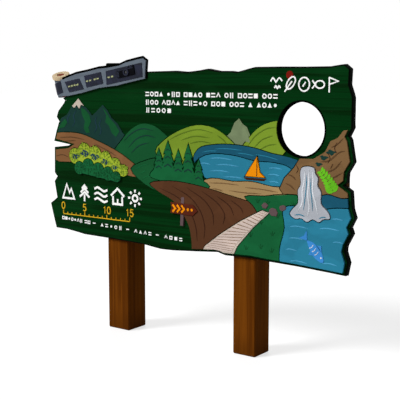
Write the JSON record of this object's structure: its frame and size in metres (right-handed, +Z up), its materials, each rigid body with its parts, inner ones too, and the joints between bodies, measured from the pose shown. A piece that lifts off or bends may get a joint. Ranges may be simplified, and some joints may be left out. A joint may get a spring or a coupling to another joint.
{
  "type": "park interpretation sign",
  "caption": "Wide outdoor information board of waney planks on square timber posts, with an oval face opening, a raised landscape picture and a header plaque shaped like a strip of film.",
  "frame": {"origin": "on the ground, at the centre of the sign's box seen from above", "axes": "+X along the board from the reader's left to right, -Y towards the reader, +Z up"},
  "size_m": [2.1756, 0.2298, 1.6777],
  "materials": {
    "board_paint": "satin dark green paint on sawn planks",
    "post_timber": "orange-brown stained sawn timber, matt",
    "batten_timber": "brown stained sawn timber, matt",
    "fixings": "zinc plated, dulled",
    "edging": "black, satin",
    "plaque_face": "grey-blue paint on sheet, matt",
    "plaque_frame": "dark blue-grey, matt",
    "roll_disc": "cream paint, matt",
    "roll_core": "red-brown paint, matt",
    "picture_teal": "paint, satin",
    "picture_cream": "paint, satin",
    "picture_mid_green": "paint, satin",
    "picture_bright_green": "paint, satin",
    "picture_olive": "paint, satin",
    "picture_lime": "paint, satin",
    "picture_grey_green": "paint, satin",
    "picture_deep_blue": "paint, satin",
    "picture_lake_blue": "paint, satin",
    "picture_rust": "paint, satin",
    "picture_tan": "paint, satin",
    "picture_brown": "paint, satin",
    "picture_bluff": "paint, satin",
    "picture_silver": "paint, satin",
    "picture_orange": "paint, satin",
    "marks_white": "paint, satin",
    "marks_yellow": "paint, satin",
    "marks_red": "paint, satin"
  },
  "bodies": {
    "root": {"plank_1": "board_paint", "plank_2_long": "board_paint", "plank_2_short": "board_paint", "plank_3": "board_paint", "plank_4": "board_paint", "plank_5": "board_paint", "plank_6": "board_paint", "opening_edging": "edging", "batten_left": "batten_timber", "batten_middle": "batten_timber", "batten_right": "batten_timber", "screw_left_1": "fixings", "screw_left_2": "fixings", "screw_left_3": "fixings", "screw_left_4": "fixings", "screw_left_5": "fixings", "screw_left_6": "fixings", "screw_right_1": "fixings", "screw_right_2": "fixings", "screw_right_3": "fixings", "screw_right_4": "fixings", "screw_right_5": "fixings", "screw_right_6": "fixings", "mountain_teal": "picture_teal", "mountain_cap": "picture_cream", "ridge_green": "picture_mid_green", "hill_olive": "picture_olive", "crag_grey": "picture_grey_green", "hill_light": "picture_olive", "lake_deep": "picture_deep_blue", "lake_light": "picture_lake_blue", "hill_rust": "picture_rust", "meadow_green": "picture_mid_green", "shore_tan": "picture_tan", "field_brown": "picture_brown", "bank_green": "picture_bright_green", "bluff_brown": "picture_bluff", "pool_deep": "picture_deep_blue", "pool_light": "picture_lake_blue", "waterfall_silver": "picture_silver", "grove_light": "picture_lime", "grove_dark": "picture_bright_green", "pine_stand": "picture_bright_green", "boardwalk": "picture_cream", "sail": "picture_orange", "plaque_backing": "edging", "plaque_face": "plaque_face", "film_roll": "plaque_face", "roll_end_disc": "roll_disc", "roll_core": "roll_core", "film_frame_1": "plaque_frame", "film_frame_2": "plaque_frame", "film_frame_3": "plaque_frame", "film_frame_4": "plaque_frame", "camera_body": "edging", "camera_lens_ring": "plaque_frame", "post_left": "post_timber", "post_right": "post_timber"}
  },
  "joints": []
}
